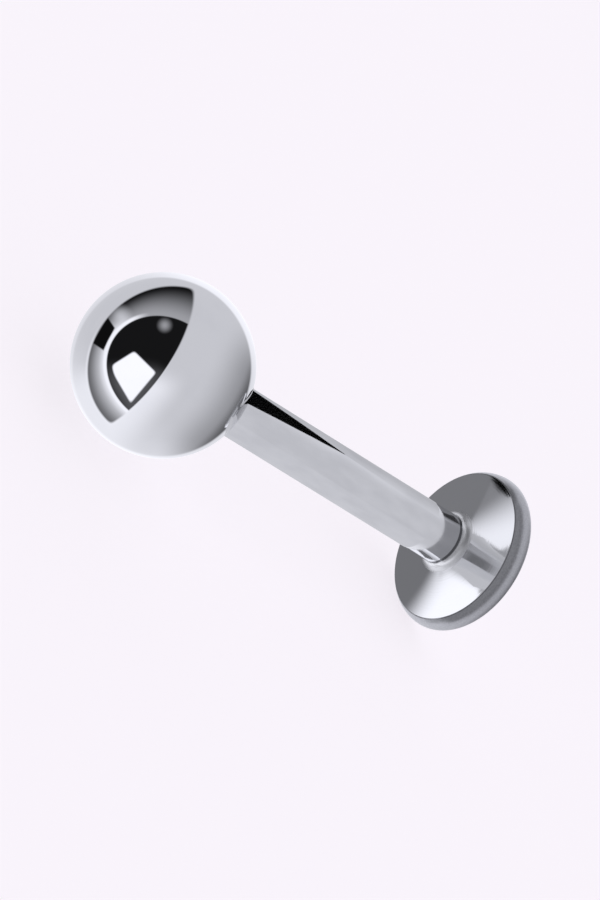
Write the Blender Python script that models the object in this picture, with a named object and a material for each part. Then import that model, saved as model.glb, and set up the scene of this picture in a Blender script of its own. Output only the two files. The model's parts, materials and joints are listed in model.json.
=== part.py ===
"""Labret stud of surgical steel: a round bar soldered to a disc, and a ball that screws onto the bar's tip.

It lies on its side, resting on the ball and on the rim of the disc. Metres, +Z up, the ball towards -X.
Each piece is turned about its own local Z axis, which runs from the middle of the ball to the disc.
"""

from math import acos, asin, cos, pi, radians, sin, sqrt, tan

import bmesh
import bpy

MM = 0.001

# Driving dimensions
BAR_R = 0.6 * MM
BALL_R = 2.0 * MM
BAR_VISIBLE = 7.36 * MM

DISC_R = 1.883 * MM
FACE_R = 1.764 * MM
FACE_TO_WIDEST = 0.31 * MM
BACK_ROUND = 0.25 * MM
CONE_SLOPE = radians(14.5)
FOOT_FILLET = 0.20 * MM

BORE_CLEARANCE = 0.03 * MM
MOUTH_CHAMFER = 0.05 * MM
BAR_IN_BALL = 0.15 * MM
BORE_PAST_CENTRE = 0.45 * MM
END_CLEARANCE = 0.1 * MM
DRILL_POINT_HALF = radians(59)

THREAD_PITCH = 0.25 * MM
THREAD_CREST_R = 0.59 * MM
THREAD_ROOT_R = 0.45 * MM
TIP_R = 0.42 * MM
TIP_CHAMFER = 0.07 * MM

# Fineness of the facets
SIDES = 48
BALL_RINGS = 24
ARC_STEPS = 4
MERGE = 0.0001 * MM

# Sizes worked out from the driving dimensions
bore_r = BAR_R + BORE_CLEARANCE
mouth_r = bore_r + MOUTH_CHAMFER
mouth_z = sqrt(BALL_R**2 - mouth_r**2)
bore_end_z = -BORE_PAST_CENTRE
tip_end_z = bore_end_z + END_CLEARANCE
thread_start_z = mouth_z - BAR_IN_BALL
thread_end_z = tip_end_z + TIP_CHAMFER

cone_height = (FACE_R - BAR_R) * tan(CONE_SLOPE)
fillet_turn = pi / 2 - CONE_SLOPE
fillet_reach = FOOT_FILLET * tan(fillet_turn / 2)
face_z = mouth_z + BAR_VISIBLE + cone_height
widest_z = face_z + FACE_TO_WIDEST
back_z = widest_z + BACK_ROUND

# The stud leans until the ball and the disc both touch the surface with a flat facet down
flat = cos(pi / SIDES)
lean = asin((BALL_R - DISC_R) * flat / widest_z)


def arc(centre_z, centre_r, radius, start, end, steps):
    """Points (z, r) on a circle, its angle measured from the +r direction towards +z."""
    turns = [start + (end - start) * i / steps for i in range(steps + 1)]
    return [(centre_z + radius * sin(a), centre_r + radius * cos(a)) for a in turns]


def disc_and_bar_profile():
    """From the middle of the flat back, round the rim, down the cone's face and along the bar."""
    back_edge = arc(widest_z, DISC_R - BACK_ROUND, BACK_ROUND, pi / 2, 0, ARC_STEPS)
    overhang = DISC_R - FACE_R
    side_radius = (overhang**2 + FACE_TO_WIDEST**2) / (2 * overhang)
    side_end = -acos(1 - overhang / side_radius)
    side = arc(widest_z, DISC_R - side_radius, side_radius, 0, side_end, ARC_STEPS)
    fillet_z = face_z - cone_height - fillet_reach
    fillet = arc(fillet_z, BAR_R + FOOT_FILLET, FOOT_FILLET, pi - fillet_turn, pi, ARC_STEPS)
    return [(back_z, 0)] + back_edge + side[1:] + fillet + [(thread_start_z, BAR_R)]


def tip_profile():
    """From the last turn of the thread to the middle of the tip's flat end."""
    return [(thread_end_z, TIP_R), (tip_end_z, TIP_R - TIP_CHAMFER), (tip_end_z, 0)]


def ball_profile():
    """From the far pole over the ball to the mouth, then down the blind bore to its drilled point."""
    mouth_angle = pi - asin(mouth_r / BALL_R)
    step = pi / BALL_RINGS
    angles = [i * step for i in range(BALL_RINGS) if i * step < mouth_angle - step / 4]
    outside = [(-BALL_R * cos(a), BALL_R * sin(a)) for a in angles + [mouth_angle]]
    drill_point = bore_end_z - bore_r / tan(DRILL_POINT_HALF)
    inside = [(mouth_z - MOUTH_CHAMFER, bore_r), (bore_end_z, bore_r), (drill_point, 0)]
    return outside + inside


def turn(mesh, profile):
    """Spins a profile of (z, r) points about Z, with the middle of a facet on the +X side."""
    half = pi / SIDES
    verts = [mesh.verts.new((r * cos(half), -r * sin(half), z)) for z, r in profile]
    edges = [mesh.edges.new(pair) for pair in zip(verts, verts[1:])]
    bmesh.ops.spin(
        mesh,
        geom=verts + edges,
        cent=(0, 0, 0),
        axis=(0, 0, 1),
        angle=2 * pi,
        steps=SIDES,
        use_merge=True,
    )


def thread_point(turns, radius, side):
    """One point of the thread's helix, held between the bar's shoulder and the end of the tip."""
    z = thread_start_z - THREAD_PITCH * (turns - side / SIDES)
    if z >= thread_start_z:
        z, radius = thread_start_z, BAR_R
    if z <= thread_end_z:
        z, radius = thread_end_z, TIP_R
    angle = (2 * side - 1) * pi / SIDES
    return radius * cos(angle), radius * sin(angle), z


def cut_thread(mesh):
    """A right-hand thread: each row of points is one turn of the helix, on the crest or in the root."""
    turn_count = int((thread_start_z - thread_end_z) / THREAD_PITCH) + 3
    section = ((0.0, THREAD_CREST_R), (0.2, THREAD_CREST_R), (0.6, THREAD_ROOT_R))
    rows = [
        [mesh.verts.new(thread_point(turns + part, radius, side)) for side in range(SIDES + 1)]
        for turns in range(turn_count)
        for part, radius in section
    ]
    for row, below in zip(rows, rows[1:]):
        for side in range(SIDES):
            mesh.faces.new((row[side], row[side + 1], below[side + 1], below[side]))


def closed_object(name, mesh, material):
    """Joins the rows of points into one closed body and makes an object of it."""
    bmesh.ops.remove_doubles(mesh, verts=mesh.verts, dist=MERGE)
    bmesh.ops.recalc_face_normals(mesh, faces=mesh.faces)
    data = bpy.data.meshes.new(name)
    mesh.to_mesh(data)
    mesh.free()
    data.materials.append(material)
    data.shade_smooth()
    data.set_sharp_from_angle(angle=radians(35))
    piece = bpy.data.objects.new(name, data)
    bpy.context.scene.collection.objects.link(piece)
    return piece


def steel(name, colour, roughness):
    material = bpy.data.materials.new(name)
    material.use_nodes = True
    shader = material.node_tree.nodes["Principled BSDF"]
    shader.inputs["Base Color"].default_value = (*colour, 1)
    shader.inputs["Metallic"].default_value = 1
    shader.inputs["Roughness"].default_value = roughness
    return material


def make_post():
    mesh = bmesh.new()
    turn(mesh, disc_and_bar_profile())
    turn(mesh, tip_profile())
    cut_thread(mesh)
    return closed_object("post", mesh, steel("satin_steel", (0.74, 0.74, 0.78), 0.18))


def make_ball():
    mesh = bmesh.new()
    turn(mesh, ball_profile())
    return closed_object("ball", mesh, steel("polished_steel", (0.80, 0.80, 0.83), 0.05))


def make_axis():
    """An empty in the middle of the ball, its Z axis along the bar, which both pieces are placed by."""
    reach_back = BALL_R
    reach_front = back_z * cos(lean) + (DISC_R - BACK_ROUND) * flat * sin(lean)
    axis = bpy.data.objects.new("stud_axis", None)
    axis.location = ((reach_back - reach_front) / 2, 0, BALL_R * flat * cos(lean))
    axis.rotation_euler = (0, pi / 2 + lean, 0)
    bpy.context.scene.collection.objects.link(axis)
    return axis


for old in list(bpy.data.objects):
    bpy.data.objects.remove(old, do_unlink=True)

stud_axis = make_axis()
for piece in (make_post(), make_ball()):
    piece.parent = stud_axis
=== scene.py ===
"""The looks of a steel labret stud on a pale floor: a mirror-polished ball, a satin bar and a coned disc.

Both pieces are turned about the stud's own axis. Their meshes are made in the stud's frame, in metres:
local Z runs from the middle of the ball to the disc.
"""

import json
from math import acos, asin, cos, pi, radians, sin, sqrt, tan

import bmesh
import bpy
from mathutils import Matrix, Vector


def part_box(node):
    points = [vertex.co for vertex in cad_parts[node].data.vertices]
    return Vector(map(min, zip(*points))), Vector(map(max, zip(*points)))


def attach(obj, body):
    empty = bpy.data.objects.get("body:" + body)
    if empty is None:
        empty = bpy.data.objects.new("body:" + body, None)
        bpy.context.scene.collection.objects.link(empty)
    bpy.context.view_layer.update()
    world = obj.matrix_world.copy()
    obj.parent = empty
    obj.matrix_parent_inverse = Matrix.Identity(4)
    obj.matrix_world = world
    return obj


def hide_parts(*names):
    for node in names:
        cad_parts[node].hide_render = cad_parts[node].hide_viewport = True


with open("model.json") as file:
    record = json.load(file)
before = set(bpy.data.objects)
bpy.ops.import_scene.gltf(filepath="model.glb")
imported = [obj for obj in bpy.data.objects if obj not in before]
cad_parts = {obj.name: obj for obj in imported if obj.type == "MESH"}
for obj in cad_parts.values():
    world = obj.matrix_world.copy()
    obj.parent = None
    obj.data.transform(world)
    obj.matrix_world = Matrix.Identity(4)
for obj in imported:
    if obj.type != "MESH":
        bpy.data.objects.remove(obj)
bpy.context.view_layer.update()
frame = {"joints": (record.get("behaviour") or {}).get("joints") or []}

MM = 0.001

# Driving dimensions, as in the part
BAR_R = 0.6 * MM
BALL_R = 2.0 * MM
BAR_VISIBLE = 7.36 * MM
DISC_R = 1.883 * MM
FACE_R = 1.764 * MM
FACE_TO_WIDEST = 0.31 * MM
BACK_ROUND = 0.25 * MM
CONE_SLOPE = radians(14.5)
FOOT_FILLET = 0.20 * MM
FACE_EDGE_ROUND = 0.05 * MM
SOLDER_ON_BAR = 0.05 * MM
BORE_R = 0.63 * MM
MOUTH_CHAMFER = 0.05 * MM
BAR_IN_BALL = 0.15 * MM
BORE_PAST_CENTRE = 0.45 * MM
END_CLEARANCE = 0.1 * MM
DRILL_POINT_HALF = radians(59)
THREAD_PITCH = 0.25 * MM
THREAD_CREST_R = 0.59 * MM
THREAD_ROOT_R = 0.45 * MM
TIP_R = 0.42 * MM
TIP_CHAMFER = 0.07 * MM

# Sizes worked out from them
mouth_r = BORE_R + MOUTH_CHAMFER
mouth_z = sqrt(BALL_R**2 - mouth_r**2)
tip_end_z = END_CLEARANCE - BORE_PAST_CENTRE
thread_start_z = mouth_z - BAR_IN_BALL
thread_end_z = tip_end_z + TIP_CHAMFER
cone_height = (FACE_R - BAR_R) * tan(CONE_SLOPE)
face_z = mouth_z + BAR_VISIBLE + cone_height
widest_z = face_z + FACE_TO_WIDEST
back_z = widest_z + BACK_ROUND

# Fineness of the turned meshes
SIDES = 192
BALL_RINGS = 96
ARC_STEPS = 10
SUPPORT = 0.004 * MM
SHORTEST_STRAIGHT = 0.1 * MM
MERGE = 0.0001 * MM

# The photo's view, in its 600 x 900 frame
VIEW_OFF_AXIS = radians(51.52)
BAR_ON_SCREEN = radians(31.78)
CAMERA_ELEVATION = radians(22)
CAMERA_DISTANCE = 180 * MM
FOCAL_PX = 8271
MIDDLE_PX = (311.2, 457.2)
FRAME_PX = (600, 900)
SENSOR_MM = 36


# Where the stud lies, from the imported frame

def stud_placement():
    """The middle of the ball, and the unit vector from the disc to the ball."""
    low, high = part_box("ball")
    to_ball = Vector(frame["joints"][0]["axis"]).normalized()
    return Vector((low.x + BALL_R, 0, (low.z + high.z) / 2)), to_ball


ball_centre, to_ball = stud_placement()


def stud_matrix():
    """The stud's frame in the world: Z from the ball to the disc, X down."""
    z = -to_ball
    y = Vector((0, 1, 0))
    x = y.cross(z)
    turned = Matrix((x, y, z)).transposed().to_4x4()
    return Matrix.Translation(ball_centre) @ turned


# The studio's directions, fixed by the photo's view of the stud

def studio_axes():
    """The photo's right, up and towards-the-camera directions in the world."""
    rise = sin(CAMERA_ELEVATION)
    across = cos(CAMERA_ELEVATION)
    turn = asin((cos(VIEW_OFF_AXIS) - to_ball.z * rise) / (to_ball.x * across))
    to_camera = Vector((sin(turn) * across, -cos(turn) * across, rise))
    along = (to_ball - cos(VIEW_OFF_AXIS) * to_camera).normalized()
    below = to_camera.cross(along)
    right = -cos(BAR_ON_SCREEN) * along - sin(BAR_ON_SCREEN) * below
    up = sin(BAR_ON_SCREEN) * along - cos(BAR_ON_SCREEN) * below
    return right, up, to_camera


studio_right, studio_up, studio_towards = studio_axes()
from_bar_to_camera = (studio_towards - cos(VIEW_OFF_AXIS) * to_ball).normalized()
across_bar = to_ball.cross(from_bar_to_camera)


def add_camera():
    middle = ball_centre - to_ball * face_z / 2
    per_px = CAMERA_DISTANCE / FOCAL_PX
    aside = (FRAME_PX[0] / 2 - MIDDLE_PX[0]) * per_px
    above = (MIDDLE_PX[1] - FRAME_PX[1] / 2) * per_px
    place = middle + studio_towards * CAMERA_DISTANCE + studio_right * aside + studio_up * above
    data = bpy.data.cameras.new("camera")
    data.sensor_width = SENSOR_MM
    data.lens = FOCAL_PX * SENSOR_MM / FRAME_PX[1]
    data.clip_start = 10 * MM
    data.clip_end = 10
    camera = bpy.data.objects.new("camera", data)
    turned = Matrix((studio_right, studio_up, studio_towards)).transposed().to_4x4()
    camera.matrix_world = Matrix.Translation(place) @ turned
    bpy.context.scene.collection.objects.link(camera)
    bpy.context.scene.camera = camera


# Formulas written as shader nodes

class Number:
    """A value in a node tree that adds, multiplies and blends like a plain number."""

    def __init__(self, tree, socket):
        self.tree = tree
        self.socket = socket

    def math(self, operation, *others, clamp=False):
        node = self.tree.nodes.new("ShaderNodeMath")
        node.operation = operation
        node.use_clamp = clamp
        for slot, value in zip(node.inputs, (self, *others)):
            connect(self.tree, value, slot)
        return Number(self.tree, node.outputs[0])

    def __add__(self, other):
        return self.math("ADD", other)

    def __sub__(self, other):
        return self.math("SUBTRACT", other)

    def __rsub__(self, other):
        return self.math("MULTIPLY", -1).math("ADD", other)

    def __mul__(self, other):
        return self.math("MULTIPLY", other)

    def __truediv__(self, other):
        return self.math("DIVIDE", other)

    def root(self):
        return self.math("SQRT")

    def largest(self, other, rounding=0.0):
        if rounding:
            return self.math("SMOOTH_MAX", other, rounding)
        return self.math("MAXIMUM", other)

    def step(self, start, end):
        """0 before start and 1 after end, smooth between them."""
        node = self.tree.nodes.new("ShaderNodeMapRange")
        node.interpolation_type = "SMOOTHSTEP"
        connect(self.tree, self, node.inputs["Value"])
        node.inputs["From Min"].default_value = min(start, end)
        node.inputs["From Max"].default_value = max(start, end)
        node.inputs["To Min"].default_value = 0 if start < end else 1
        node.inputs["To Max"].default_value = 1 if start < end else 0
        return Number(self.tree, node.outputs["Result"])

    def blend(self, zero, one):
        """zero where this value is 0, one where it is 1."""
        node = self.tree.nodes.new("ShaderNodeMix")
        connect(self.tree, self, node.inputs[0])
        connect(self.tree, zero, node.inputs[2])
        connect(self.tree, one, node.inputs[3])
        return Number(self.tree, node.outputs[0])


def connect(tree, value, slot):
    if isinstance(value, Number):
        tree.links.new(value.socket, slot)
    else:
        slot.default_value = value


def dot(tree, vector_socket, direction):
    node = tree.nodes.new("ShaderNodeVectorMath")
    node.operation = "DOT_PRODUCT"
    tree.links.new(vector_socket, node.inputs[0])
    node.inputs[1].default_value = direction
    return Number(tree, node.outputs["Value"])


# The studio, painted by direction: what a mirror ball in the middle of it shows the camera

STEEL_SHARE = 0.80
STUDIO_TINT = (0.985, 0.990, 1.055)
LEFT_EDGE = (0.020, 0.022, 0.865, 0.776, radians(46.0))
RIGHT_EDGE = (-0.350, 0.159, 0.986, 0.433, radians(54.4))
INNER_EDGE = (0.025, -0.071, 0.564, 0.650, radians(53.2))
WINDOW_CORNERS = ((-0.299, 0.145), (-0.068, -0.082), (-0.340, -0.402), (-0.526, -0.082), (-0.534, 0.000))
BLOCK_CORNERS = ((-0.588, 0.512), (-0.507, 0.394), (-0.628, 0.158), (-0.748, 0.240))
LAMP_SPOT = (0.024, 0.423)
LIGHT_PATCH = (-0.455, 0.500)
EYE_LENGTH_ANGLE = radians(238)
GLOW_ANGLE = radians(226)
SHADE_ANGLE = radians(-32)


def light(picture_value):
    """The light that polished steel shows as this 0 to 255 value in a picture."""
    share = picture_value / 255
    linear = share / 12.92 if share <= 0.04045 else ((share + 0.055) / 1.055) ** 2.4
    return linear / STEEL_SHARE


def light_seen_twice(picture_value):
    """The same for light that two steel surfaces reflect in turn."""
    return light(picture_value) / STEEL_SHARE


def towards(x, y, angle):
    """How far a place lies in the direction of an angle."""
    return x * cos(angle) + y * sin(angle)


def distance(x, y, centre):
    return ((x - centre[0]) * (x - centre[0]) + (y - centre[1]) * (y - centre[1])).root()


def oval(x, y, centre_x, centre_y, half_long, half_short, angle):
    """Roughly the distance outside an oval, negative inside it."""
    along = towards(x - centre_x, y - centre_y, angle) / half_long
    across = towards(x - centre_x, y - centre_y, angle + pi / 2) / half_short
    return ((along * along + across * across).root() - 1) * min(half_long, half_short)


def outside_polygon(x, y, corners, rounding):
    """Roughly the distance outside a convex polygon whose corners run clockwise."""
    worst = None
    for (ax, ay), (bx, by) in zip(corners, corners[1:] + corners[:1]):
        length = sqrt((bx - ax) ** 2 + (by - ay) ** 2)
        side = (x - ax) * ((ay - by) / length) + (y - ay) * ((bx - ax) / length)
        worst = side if worst is None else worst.largest(side, rounding)
    return worst


def mirror_ball_place(tree):
    """Where the light from a direction shows on the mirror ball's picture.

    x runs right and y up, and the picture's edge is the unit circle."""
    coordinates = tree.nodes.new("ShaderNodeTexCoord")
    halfway = tree.nodes.new("ShaderNodeVectorMath")
    halfway.operation = "ADD"
    tree.links.new(coordinates.outputs["Generated"], halfway.inputs[0])
    halfway.inputs[1].default_value = studio_towards
    normal = tree.nodes.new("ShaderNodeVectorMath")
    normal.operation = "NORMALIZE"
    tree.links.new(halfway.outputs[0], normal.inputs[0])
    x = dot(tree, normal.outputs[0], studio_right)
    y = dot(tree, normal.outputs[0], studio_up)
    return x, y


def tent_light(x, y, eye):
    """The white tent: lighter low on the left and beside the eye, with a dark fall-off low on the right."""
    radius = (x * x + y * y).root()
    base = towards(x, y, GLOW_ANGLE).step(0.3, 0.9).blend(light(198), light(216))
    glow = eye.step(0.34, 0.0) * (x * 0.5 + y * 0.86).step(0.1, -0.28) * y.step(0.08, -0.25)
    base = glow.blend(base, light(234))
    halo = eye.step(0.035, 0.008) * towards(x, y, GLOW_ANGLE).step(0.1, 0.5)
    base = (halo * 0.6).blend(base, light(238))
    aside = towards(x, y, SHADE_ANGLE)
    depth = (radius + aside) * 0.5
    shade = (1 - depth.step(0.45, 0.95) * 0.55) * (1 - depth.step(0.82, 0.95) * 0.65)
    corner = (aside / radius.largest(0.05)).step(0.42, 0.90)
    base = base * corner.blend(1, shade)
    rim = distance(x, y, (-0.010, -0.017)).step(0.942, 0.968)
    turned = towards(x, y, radians(50)) * towards(x, y, radians(50)) * 2 - radius * radius
    return rim.blend(base, turned.step(-0.9, 0.9).blend(light(214), light(240)))


def ring_light(x, y, outer, inner):
    """The grey ring round the black opening: dark outside, light inside, darker at the top."""
    share = inner.largest(0) / (inner.largest(0) - outer).largest(0.01)
    low = share.step(-0.1, 1.1).blend(light(222), light(92))
    low = share.step(0.45, 0.0).blend(low, light(236))
    high = share.step(0.0, 1.0).blend(light(158), light(9))
    patch = distance(x, y, LIGHT_PATCH).step(0.17, 0.0) * 0.9
    high = patch.blend(high, light(205))
    return towards(x, y, EYE_LENGTH_ANGLE).step(-0.30, -0.02).blend(high, low)


def eye_light(x, y, outer, right):
    """The tent's dark opening: a grey ring, a black hollow, a white window, a black block and a lamp."""
    inner = oval(x, y, *INNER_EDGE)
    opening = inner.largest(right)
    window = outside_polygon(x, y, WINDOW_CORNERS, 0.05)
    block = outside_polygon(x, y, BLOCK_CORNERS, 0.01)
    black = distance(x, y, LAMP_SPOT).step(0.10, 0.0).blend(light(21), light(150))
    beside = window.step(0.16, 0.0) * y.step(0.10, -0.25)
    black = beside.blend(black, light(84))
    dark = window.step(0.012, -0.012).blend(black, light(253))
    ring = block.step(0.01, -0.01).blend(ring_light(x, y, outer, inner), light(14))
    line = inner.step(-0.012, 0.0) * inner.step(0.045, 0.02) * x.step(-0.12, -0.36)
    ring = line.blend(ring, light(246))
    return opening.step(-0.008, 0.008).blend(dark, ring)


def paint_studio():
    world = bpy.data.worlds.new("studio")
    bpy.context.scene.world = world
    world.use_nodes = True
    tree = world.node_tree
    tree.nodes.clear()
    x, y = mirror_ball_place(tree)
    outer = oval(x, y, *LEFT_EDGE)
    right = oval(x, y, *RIGHT_EDGE)
    eye = outer.largest(right, 0.05)
    value = eye.step(-0.012, 0.012).blend(eye_light(x, y, outer, right), tent_light(x, y, eye))

    tint = tree.nodes.new("ShaderNodeCombineColor")
    for slot, share in zip(tint.inputs, STUDIO_TINT):
        connect(tree, value * share, slot)
    studio = tree.nodes.new("ShaderNodeBackground")
    tree.links.new(tint.outputs[0], studio.inputs["Color"])
    plain = tree.nodes.new("ShaderNodeBackground")
    plain.inputs["Color"].default_value = (*PAPER, 1)
    path = tree.nodes.new("ShaderNodeLightPath")
    either = tree.nodes.new("ShaderNodeMixShader")
    tree.links.new(path.outputs["Is Camera Ray"], either.inputs[0])
    tree.links.new(studio.outputs[0], either.inputs[1])
    tree.links.new(plain.outputs[0], either.inputs[2])
    output = tree.nodes.new("ShaderNodeOutputWorld")
    tree.links.new(either.outputs[0], output.inputs["Surface"])


# The floor, and the cards that only the steel reflects

PAPER = (0.947, 0.905, 0.956)
PAPER_GLOW = 0.805
PAPER_MATTE = (0.38, 0.36, 0.38)
FLOOR_HALF = 3.0


def plain_mesh(name, faces, material):
    """A mesh with one face for each list of corners."""
    data = bpy.data.meshes.new(name)
    places = [tuple(corner) for face in faces for corner in face]
    starts = [sum(len(face) for face in faces[:i]) for i in range(len(faces))]
    rings = [tuple(range(start, start + len(face))) for start, face in zip(starts, faces)]
    data.from_pydata(places, [], rings)
    data.materials.append(material)
    piece = bpy.data.objects.new(name, data)
    bpy.context.scene.collection.objects.link(piece)
    return piece


def add_floor():
    material = bpy.data.materials.new("paper")
    material.use_nodes = True
    tree = material.node_tree
    tree.nodes.clear()
    matte = tree.nodes.new("ShaderNodeBsdfDiffuse")
    matte.inputs["Color"].default_value = (*PAPER_MATTE, 1)
    glow = tree.nodes.new("ShaderNodeEmission")
    glow.inputs["Color"].default_value = (*PAPER, 1)
    glow.inputs["Strength"].default_value = PAPER_GLOW
    both = tree.nodes.new("ShaderNodeAddShader")
    tree.links.new(matte.outputs[0], both.inputs[0])
    tree.links.new(glow.outputs[0], both.inputs[1])
    output = tree.nodes.new("ShaderNodeOutputMaterial")
    tree.links.new(both.outputs[0], output.inputs["Surface"])
    half = FLOOR_HALF
    corners = ((-half, -half, 0), (half, -half, 0), (half, half, 0), (-half, half, 0))
    floor = plain_mesh("floor", [corners], material)
    floor.visible_glossy = False


def card(name, fill, *faces):
    """A card whose light is seen from its front alone, and only in the steel.

    Its faces have corners (along, out, across) in millimetres: along the bar from the ball's middle to the
    disc, out from the bar to the camera, and across the bar downwards. fill gives the light there."""
    material = bpy.data.materials.new(name)
    material.use_nodes = True
    tree = material.node_tree
    tree.nodes.clear()
    place = tree.nodes.new("ShaderNodeNewGeometry")
    axes = (-to_ball, from_bar_to_camera, -across_bar)
    along, out, across = [
        (dot(tree, place.outputs["Position"], axis) - ball_centre.dot(axis)) / MM for axis in axes
    ]
    glow = tree.nodes.new("ShaderNodeEmission")
    glow.inputs["Color"].default_value = (*STUDIO_TINT, 1)
    connect(tree, fill(along, out, across), glow.inputs["Strength"])
    nothing = tree.nodes.new("ShaderNodeBsdfTransparent")
    either = tree.nodes.new("ShaderNodeMixShader")
    tree.links.new(place.outputs["Backfacing"], either.inputs[0])
    tree.links.new(glow.outputs[0], either.inputs[1])
    tree.links.new(nothing.outputs[0], either.inputs[2])
    output = tree.nodes.new("ShaderNodeOutputMaterial")
    tree.links.new(either.outputs[0], output.inputs["Surface"])
    places = [
        [ball_centre + axes[0] * a * MM + axes[1] * o * MM + axes[2] * c * MM for a, o, c in face]
        for face in faces
    ]
    piece = plain_mesh(name, places, material)
    piece.visible_camera = False
    piece.visible_diffuse = False
    piece.visible_transmission = False
    piece.visible_volume_scatter = False
    piece.visible_shadow = False


def facing_disc(along, low_out, high_out, low_across, high_across):
    """The corners of an upright card that faces the disc."""
    return (
        (along, low_out, low_across),
        (along, high_out, low_across),
        (along, high_out, high_across),
        (along, low_out, high_across),
    )


# The wall: a plane that just clears the ball, and how far it reaches behind the bar and to each side
WALL_NORMAL = (0.82, 0.57)
WALL_FROM_BALL = 2.1
WALL_OUT = (-8.6, -0.63)
WALL_HALF_WIDTH = 16
BAR_IMAGE_SPREAD = 0.61


def wall_place(out, across):
    """A place on the wall, which slants so that the ball and the bar are behind it and the disc sees it."""
    return (WALL_FROM_BALL - WALL_NORMAL[1] * out) / WALL_NORMAL[0], out, across


def wall_corners():
    far, near = WALL_OUT
    half = WALL_HALF_WIDTH
    return [wall_place(*place) for place in ((far, -half), (near, -half), (near, half), (far, half))]


def light_on_wall(along, out, across):
    """Light near the ball and dark near the disc, with a grey strip on each side of the bar's image."""
    depth = out * -1
    aside = across.math("ABSOLUTE")
    beyond = aside - depth * BAR_IMAGE_SPREAD
    dark = depth.step(9.0, 3.6).blend(light(106), light(131))
    top = depth.step(4.15, 1.45).blend(dark, light(238))
    strip = depth.step(1.8, 3.2).blend(light(147), light(118))
    top = beyond.step(0.64, 0.50).blend(top, strip)
    mark_width = aside.step(3.66, 3.71) * aside.step(4.4, 4.2)
    mark = mark_width * depth.step(3.15, 3.35) * depth.step(5.8, 5.0)
    top = mark.blend(top, 0.0)
    top = depth.step(1.09, 1.03).blend(top, light(150))
    bottom = (depth - aside * 1.1 + 3.17).step(5.1, 2.6).blend(light(112), light(253))
    bottom = (beyond.step(0.92, 0.36) * depth.step(3.6, 3.0)).blend(bottom, light(160))
    bottom = depth.step(1.10, 1.03).blend(bottom, light(162))
    return across.step(-0.05, 0.05).blend(top, bottom)


def light_on_band(along, out, across):
    """Grey for the bar's image on the disc, with a dark patch in its middle, then light for the foot."""
    reach = (out * out + across * across).root()
    side = across / reach
    low = side.step(0.74, 0.92) * reach.step(2.15, 2.45)
    grey = low.blend(light_seen_twice(142), light_seen_twice(180))
    patch_width = side.step(-0.62, -0.24) * side.step(0.90, 0.68)
    patch = patch_width * reach.step(2.06, 2.22) * reach.step(2.98, 2.88)
    grey = patch.blend(grey, light_seen_twice(94))
    grey = reach.step(2.10, 1.96).blend(grey, light_seen_twice(156))
    foot = across.step(3, 8).blend(light(176), light(214))
    foot = across.step(-1.0, -2.4).blend(foot, light(112))
    foot = out.step(10, 14).blend(foot, light(84))
    return reach.step(2.88, 3.2).blend(grey, foot)


def even(value):
    """The same light all over a card."""
    return lambda along, out, across: value


def light_over_bar(along, out, across):
    """Grey for the bar's upper edge, lighter towards its middle."""
    return out.step(0.10, 0.75).blend(light(171), light(196))


def light_on_shade(along, out, across):
    """Grey low over the foot, then dark for the corner between the bar and the disc."""
    reach = (out * out + across * across).root()
    return reach.step(2.4, 2.8).blend(light_seen_twice(124), light(90))


def between(ends, share):
    return ends[0] + (ends[1] - ends[0]) * share


# The cards at the foot, and the cone over it: its radii, and its turns to each side of the camera
FOOT_CARDS_ALONG = 8.9
CONE_START_R = 1.55
CONE_RISE = 0.675
CONE_RADII = (1.8, 3.0)
CONE_DEGREES = (-70, 70)
CONE_FACES = 14


def cone_faces():
    """A part of a cone round the bar, open to the disc and too steep for the bar's own light to meet."""
    inner, outer = CONE_RADII
    turns = [radians(between(CONE_DEGREES, i / CONE_FACES)) for i in range(CONE_FACES + 1)]
    faces = []
    for low, high in zip(turns, turns[1:]):
        ring = ((inner, low), (outer, low), (outer, high), (inner, high))
        faces.append([
            (FOOT_CARDS_ALONG + (r - CONE_START_R) * CONE_RISE, r * cos(a), r * sin(a)) for r, a in ring
        ])
    return faces


# The flat cards beside the bar: stretches along it, and lines of angles round it at a stretch's ends
BAR_CARD_CLEARANCE = 0.05
BAR_CARD_CELLS = (3, 5)
ABOVE = -1
BELOW = 1
MARK_STRETCH = (1.92, 5.21)
MARK_TOP = (-72, -47.5)
MARK_BOTTOM = (-25, -46.5)
PAST_MARK_STRETCH = (5.21, 8.35)
PAST_MARK_BOTTOM = (-46.5, -35)
UPPER_EDGE = (-86, -86)
LOWER_STRETCH = (1.92, 8.25)
LOWER_SHADE_TOP = (20, 20)
LOWER_EDGE = (86, 86)


def seen_from_bar(side, along, angle):
    """The place on a flat card beside the bar whose light a place on the bar sends to the camera."""
    radius = BAR_R / MM
    place = Vector((along, radius * cos(angle), radius * sin(angle)))
    aside = sin(VIEW_OFF_AXIS)
    ray = Vector((cos(VIEW_OFF_AXIS), aside * cos(2 * angle), aside * sin(2 * angle)))
    level = side * (radius + BAR_CARD_CLEARANCE)
    return place + ray * ((level - place.z) / ray.z)


def bar_card_faces(side, length, first_angles, last_angles):
    """Faces that fill this stretch of the bar, as the camera sees it, between two lines of angles.

    The angles are in degrees at the stretch's two ends: the camera looks at 0, and 90 is below."""
    rows, strips = BAR_CARD_CELLS
    grid = []
    for row in range(rows + 1):
        ends = [between(line, row / rows) for line in (first_angles, last_angles)]
        angles = [radians(between(ends, strip / strips)) for strip in range(strips + 1)]
        grid.append([seen_from_bar(side, between(length, row / rows), angle) for angle in angles])
    return [
        (near[i], far[i], far[i + 1], near[i + 1])
        for near, far in zip(grid, grid[1:])
        for i in range(strips)
    ]


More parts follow.
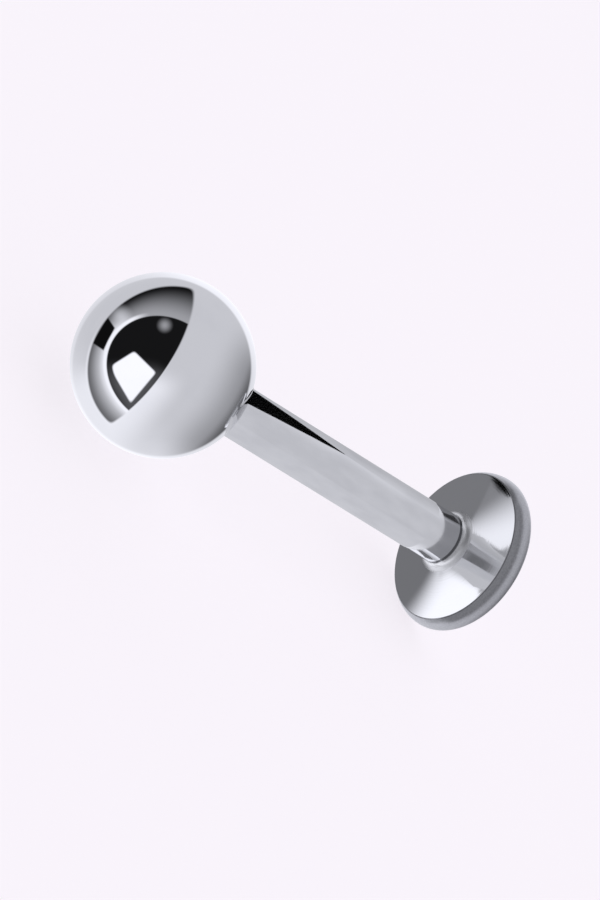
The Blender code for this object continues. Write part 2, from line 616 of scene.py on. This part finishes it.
def add_cards():
    """A slanted wall and upright cards that only the disc faces, and flat cards above and below the bar."""
    card("wall", light_on_wall, wall_corners())
    card("card_for_band", light_on_band, facing_disc(3.0, -0.63, 26, -20, 20))
    foot = FOOT_CARDS_ALONG
    card("card_for_foot", even(light_seen_twice(124)), facing_disc(foot, 1.6, 9, -6, 6))
    card("shade_for_foot", light_on_shade, *cone_faces())
    card("line_for_foot_top", even(light_seen_twice(46)), facing_disc(foot, -1.2, 0.2, -6, -2.4))
    card("line_for_foot_bottom", even(light_seen_twice(100)), facing_disc(foot, -1.5, -0.3, 2.4, 6))
    card("flag_over_bar", even(0.0), *bar_card_faces(ABOVE, MARK_STRETCH, MARK_TOP, MARK_BOTTOM))
    beside_mark = bar_card_faces(ABOVE, MARK_STRETCH, UPPER_EDGE, MARK_TOP)
    past_mark = bar_card_faces(ABOVE, PAST_MARK_STRETCH, UPPER_EDGE, PAST_MARK_BOTTOM)
    card("shade_over_bar", light_over_bar, *beside_mark, *past_mark)
    under = bar_card_faces(BELOW, LOWER_STRETCH, LOWER_SHADE_TOP, LOWER_EDGE)
    card("shade_under_bar", even(light(187)), *under)


# Turned shapes

def arc(centre_z, centre_r, radius, start, end):
    """Points (z, r) on a circle, its angle measured from the +r direction towards +z."""
    turns = [start + (end - start) * i / ARC_STEPS for i in range(ARC_STEPS + 1)]
    return [(centre_z + radius * sin(a), centre_r + radius * cos(a)) for a in turns]


def rounded(before, corner, after, radius):
    """The arc that rounds a profile's corner, touching the runs on both sides of it."""
    corner = Vector(corner)
    start_way = (Vector(before) - corner).normalized()
    end_way = (Vector(after) - corner).normalized()
    half = start_way.angle(end_way) / 2
    inwards = (start_way + end_way).normalized()
    sideways = (start_way - end_way).normalized()
    centre = corner + inwards * radius / sin(half)
    turns = [(pi / 2 - half) * (1 - 2 * i / ARC_STEPS) for i in range(ARC_STEPS + 1)]
    return [tuple(centre + (sideways * sin(a) - inwards * cos(a)) * radius) for a in turns]


def supported(points):
    """The same profile with a point close to each end of its long straight runs, which keeps them flat."""
    result = [points[0]]
    for (z0, r0), (z1, r1) in zip(points, points[1:]):
        length = sqrt((z1 - z0) ** 2 + (r1 - r0) ** 2)
        if length > SHORTEST_STRAIGHT:
            share = SUPPORT / length
            result.append((z0 + (z1 - z0) * share, r0 + (r1 - r0) * share))
            result.append((z1 - (z1 - z0) * share, r1 - (r1 - r0) * share))
        result.append((z1, r1))
    return result


def ring_of(mesh, z, r):
    if r == 0:
        return [mesh.verts.new((0, 0, z))]
    angles = [(2 * side + 1) * pi / SIDES for side in range(SIDES)]
    return [mesh.verts.new((r * cos(a), r * sin(a), z)) for a in angles]


def turn(mesh, profile, slot):
    """Adds the surface that a profile of (z, r) points sweeps, in one material slot."""
    rings = [ring_of(mesh, z, r) for z, r in supported(profile)]
    for ring, following in zip(rings, rings[1:]):
        for side in range(SIDES):
            after = (side + 1) % SIDES
            corners = [ring[side % len(ring)], ring[after % len(ring)]]
            corners += [following[after % len(following)], following[side % len(following)]]
            face = mesh.faces.new(list(dict.fromkeys(corners)))
            face.material_index = slot


def piece_of(name, mesh, materials, body, node):
    bmesh.ops.remove_doubles(mesh, verts=mesh.verts, dist=MERGE)
    bmesh.ops.recalc_face_normals(mesh, faces=mesh.faces)
    data = bpy.data.meshes.new(name)
    mesh.to_mesh(data)
    mesh.free()
    for material in materials:
        data.materials.append(material)
    data.shade_smooth()
    data.set_sharp_from_angle(angle=radians(50))
    piece = bpy.data.objects.new(name, data)
    piece.matrix_world = stud_matrix()
    bpy.context.scene.collection.objects.link(piece)
    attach(piece, body)
    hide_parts(node)
    return piece


# Materials

def object_place(tree):
    """Distances from the middle of the ball: two across the bar and one along it, in millimetres."""
    coordinates = tree.nodes.new("ShaderNodeTexCoord")
    parts = tree.nodes.new("ShaderNodeSeparateXYZ")
    tree.links.new(coordinates.outputs["Object"], parts.inputs[0])
    return [Number(tree, output) / MM for output in parts.outputs]


def grain(tree, across, along, detail=3.0):
    """A fine grain around 0.5, from cells of these sizes in millimetres."""
    x, y, z = object_place(tree)
    scaled = tree.nodes.new("ShaderNodeCombineXYZ")
    for slot, value in zip(scaled.inputs, (x / across, y / across, z / along)):
        connect(tree, value, slot)
    noise = tree.nodes.new("ShaderNodeTexNoise")
    noise.inputs["Scale"].default_value = 1
    noise.inputs["Detail"].default_value = detail
    tree.links.new(scaled.outputs[0], noise.inputs["Vector"])
    return Number(tree, noise.outputs[0])


def lathe_rings(tree, width):
    """Rings round the axis, this many millimetres wide, around 0.5."""
    x, y, z = object_place(tree)
    noise = tree.nodes.new("ShaderNodeTexNoise")
    noise.noise_dimensions = "1D"
    noise.inputs["Scale"].default_value = 1
    noise.inputs["Detail"].default_value = 3
    connect(tree, (x * x + y * y).root() / width, noise.inputs["W"])
    return Number(tree, noise.outputs[0])


def steel(name):
    """A new metal, with its node tree and its shader."""
    material = bpy.data.materials.new(name)
    material.use_nodes = True
    tree = material.node_tree
    shader = tree.nodes["Principled BSDF"]
    shader.inputs["Metallic"].default_value = 1
    return material, tree, shader


def set_tone(tree, shader, share, dark, pale):
    """A colour between dark and pale, by a share from 0 to 1."""
    mix = tree.nodes.new("ShaderNodeMix")
    mix.data_type = "RGBA"
    connect(tree, share, mix.inputs[0])
    mix.inputs[6].default_value = (*dark, 1)
    mix.inputs[7].default_value = (*pale, 1)
    tree.links.new(mix.outputs[2], shader.inputs["Base Color"])


def set_relief(tree, shader, height, depth):
    """Bumps this many millimetres deep."""
    bump = tree.nodes.new("ShaderNodeBump")
    bump.inputs["Strength"].default_value = 1
    bump.inputs["Distance"].default_value = depth * MM
    connect(tree, height, bump.inputs["Height"])
    tree.links.new(bump.outputs[0], shader.inputs["Normal"])


def ball_polish():
    """Mirror polish with the faintest haze where the wheel passed less often."""
    material, tree, shader = steel("ball_polish")
    haze = grain(tree, 0.9, 0.9).step(0.40, 0.70)
    set_tone(tree, shader, haze, (0.800, 0.803, 0.818), (0.780, 0.784, 0.800))
    connect(tree, haze * 0.022 + grain(tree, 0.05, 0.05) * 0.012 + 0.012, shader.inputs["Roughness"])
    return material


def bar_satin():
    """Drawn and lightly polished bar: streaks along it and a soft mottle."""
    material, tree, shader = steel("bar_satin")
    streaks = grain(tree, 0.045, 2.4)
    mottle = grain(tree, 0.40, 1.1, 2.0).step(0.35, 0.68)
    set_tone(tree, shader, mottle * 0.7 + streaks * 0.3, (0.825, 0.830, 0.850), (0.925, 0.930, 0.948))
    connect(tree, streaks * 0.07 + mottle * 0.02 + 0.045, shader.inputs["Roughness"])
    set_relief(tree, shader, streaks, 0.00025)
    return material


def face_polish():
    """The disc's coned face, polished over its lathe rings."""
    material, tree, shader = steel("face_polish")
    rings = lathe_rings(tree, 0.035)
    haze = grain(tree, 0.30, 0.30)
    set_tone(tree, shader, rings * 0.5 + haze * 0.5, (0.775, 0.780, 0.798), (0.812, 0.817, 0.832))
    connect(tree, rings * 0.04 + haze * 0.03 + 0.025, shader.inputs["Roughness"])
    set_relief(tree, shader, rings, 0.0002)
    return material


# Where the solder's painted dark line turns to a painted highlight, and where that greys again towards the
# disc, in millimetres
FILLET_HIGHLIGHT_START = (9.100, 9.130)
FILLET_HIGHLIGHT_FADE = (9.185, 9.235)


def fillet_painted_light():
    """The solder round the bar's foot, with painted shade where it meets the bar and a painted highlight in
    the corner.
    """
    material, tree, shader = steel("fillet_painted_light")
    x, y, z = object_place(tree)
    fine = grain(tree, 0.04, 0.04)
    painted_highlight_band = z.step(*FILLET_HIGHLIGHT_START)
    past_highlight = z.step(*FILLET_HIGHLIGHT_FADE)
    # Painted light: a dark line at the bar, a bright band in the corner and greyer beyond it, over a fine
    # grain
    pale = painted_highlight_band * 0.94 - past_highlight * 0.42 + fine * 0.06
    set_tone(tree, shader, pale, (0.200, 0.201, 0.212), (0.985, 0.990, 1.000))
    connect(tree, painted_highlight_band * 0.22 + fine * 0.06 + 0.10, shader.inputs["Roughness"])
    set_relief(tree, shader, fine, 0.0003)
    return material


def rim_satin_painted_shade():
    """The disc's rounded edge, left satin from tumbling, and darkened with painted shade."""
    material, tree, shader = steel("rim_satin_painted_shade")
    fine = grain(tree, 0.035, 0.035, 4.0)
    # Painted shade: a base colour far darker than the polished face
    set_tone(tree, shader, fine.step(0.3, 0.7), (0.480, 0.484, 0.508), (0.580, 0.584, 0.606))
    connect(tree, fine * 0.16 + 0.27, shader.inputs["Roughness"])
    set_relief(tree, shader, fine, 0.0006)
    return material


def edge_painted_dark_line():
    """The turned edge between the disc's face and its side: rougher, and darkened with painted shade into a
    thin dark line.
    """
    material, tree, shader = steel("edge_painted_dark_line")
    fine = grain(tree, 0.03, 0.03)
    # Painted shade: a dark base colour that draws a thin line along the edge
    set_tone(tree, shader, fine, (0.240, 0.242, 0.254), (0.400, 0.402, 0.416))
    connect(tree, fine * 0.12 + 0.28, shader.inputs["Roughness"])
    set_relief(tree, shader, fine, 0.0004)
    return material


def back_satin():
    """The flat back, faced on the lathe."""
    material, tree, shader = steel("back_satin")
    rings = lathe_rings(tree, 0.05)
    fine = grain(tree, 0.06, 0.06)
    set_tone(tree, shader, rings * 0.6 + fine * 0.4, (0.660, 0.664, 0.684), (0.765, 0.769, 0.786))
    connect(tree, rings * 0.14 + fine * 0.08 + 0.14, shader.inputs["Roughness"])
    set_relief(tree, shader, rings, 0.0008)
    return material


def thread_steel():
    """Cut thread: bright on its crests, duller in its roots and darkened there with painted shade."""
    material, tree, shader = steel("thread_steel")
    x, y, z = object_place(tree)
    depth = (x * x + y * y).root().step(THREAD_CREST_R / MM, THREAD_ROOT_R / MM)
    fine = grain(tree, 0.03, 0.03)
    # Painted shade: the base colour darkens towards the roots
    set_tone(tree, shader, depth * 0.8 + fine * 0.2, (0.760, 0.764, 0.784), (0.360, 0.362, 0.376))
    connect(tree, depth * 0.22 + fine * 0.10 + 0.12, shader.inputs["Roughness"])
    set_relief(tree, shader, fine, 0.0005)
    return material


def bore_steel():
    """The drilled hole in the ball, with the drill's rings and no polish, its colour darkened with painted
    shade.
    """
    material, tree, shader = steel("bore_steel")
    x, y, z = object_place(tree)
    rings = grain(tree, 0.4, 0.03)
    set_tone(tree, shader, rings, (0.480, 0.482, 0.498), (0.620, 0.622, 0.640))
    connect(tree, rings * 0.2 + 0.25, shader.inputs["Roughness"])
    set_relief(tree, shader, rings, 0.0010)
    return material


# The two pieces, with their material slots in the order of their materials

POLISHED, DRILLED = range(2)
BAR, FACE, RIM, BACK, THREAD, EDGE, PAINTED_FILLET = range(7)


def add_ball():
    mesh = bmesh.new()
    mouth_angle = pi - asin(mouth_r / BALL_R)
    angles = [i * mouth_angle / BALL_RINGS for i in range(1, BALL_RINGS + 1)]
    outside = [(-BALL_R, 0)] + [(-BALL_R * cos(a), BALL_R * sin(a)) for a in angles]
    drill_point = -BORE_PAST_CENTRE - BORE_R / tan(DRILL_POINT_HALF)
    inside = [(mouth_z, mouth_r), (mouth_z - MOUTH_CHAMFER, BORE_R)]
    inside += [(-BORE_PAST_CENTRE, BORE_R), (drill_point, 0)]
    turn(mesh, outside, POLISHED)
    turn(mesh, inside, DRILLED)
    piece_of("ball_polished", mesh, (ball_polish(), bore_steel()), "ball", "ball")


def thread_row(mesh, turns, radius):
    """One row of the thread's helix, held between the bar's shoulder and the end of the tip."""
    row = []
    for side in range(SIDES + 1):
        z = thread_start_z - THREAD_PITCH * (turns - side / SIDES)
        r = radius
        if z >= thread_start_z:
            z, r = thread_start_z, BAR_R
        if z <= thread_end_z:
            z, r = thread_end_z, TIP_R
        angle = (2 * side + 1) * pi / SIDES
        row.append(mesh.verts.new((r * cos(angle), r * sin(angle), z)))
    return row


def cut_thread(mesh, slot):
    """A right-hand thread with a flat crest and a round root: shares of a turn, and of the cut's depth."""
    turn_count = int((thread_start_z - thread_end_z) / THREAD_PITCH) + 3
    depth = THREAD_CREST_R - THREAD_ROOT_R
    crest_and_flank = ((0.0, 0.0), (0.14, 0.0), (0.30, 0.42))
    root_and_flank = ((0.46, 0.88), (0.57, 1.0), (0.68, 0.88), (0.84, 0.42))
    rows = [
        thread_row(mesh, turns + part, THREAD_CREST_R - depth * cut)
        for turns in range(turn_count)
        for part, cut in crest_and_flank + root_and_flank
    ]
    for row, below in zip(rows, rows[1:]):
        for side in range(SIDES):
            face = mesh.faces.new((row[side], row[side + 1], below[side + 1], below[side]))
            face.material_index = slot


def add_post():
    mesh = bmesh.new()
    back_edge = arc(widest_z, DISC_R - BACK_ROUND, BACK_ROUND, pi / 2, 0)
    overhang = DISC_R - FACE_R
    side_radius = (overhang**2 + FACE_TO_WIDEST**2) / (2 * overhang)
    side_end = -acos(1 - overhang / side_radius)
    side = arc(widest_z, DISC_R - side_radius, side_radius, 0, side_end)
    fillet_turn = pi / 2 - CONE_SLOPE
    fillet_z = face_z - cone_height - FOOT_FILLET * tan(fillet_turn / 2)
    fillet = arc(fillet_z, BAR_R + FOOT_FILLET, FOOT_FILLET, pi - fillet_turn, pi)
    solder_end = (fillet[-1][0] - SOLDER_ON_BAR, BAR_R)
    edge = rounded(side[-3], side[-1], fillet[0], FACE_EDGE_ROUND)
    turn(mesh, [(back_z, 0)] + back_edge[:1], BACK)
    turn(mesh, back_edge + side[1:-2] + edge[:1], RIM)
    turn(mesh, edge, EDGE)
    turn(mesh, [edge[-1], fillet[0]], FACE)
    turn(mesh, fillet + [solder_end], PAINTED_FILLET)
    turn(mesh, [solder_end, (thread_start_z, BAR_R)], BAR)
    cut_thread(mesh, THREAD)
    turn(mesh, [(thread_end_z, TIP_R), (tip_end_z, TIP_R - TIP_CHAMFER), (tip_end_z, 0)], THREAD)
    materials = (bar_satin(), face_polish(), rim_satin_painted_shade(), back_satin(), thread_steel(), edge_painted_dark_line())
    piece_of("post_turned", mesh, materials + (fillet_painted_light(),), "post", "post")


add_camera()
paint_studio()
add_floor()
add_cards()
add_ball()
add_post()

bpy.context.scene.view_settings.view_transform = "Standard"
bpy.context.view_layer.update()
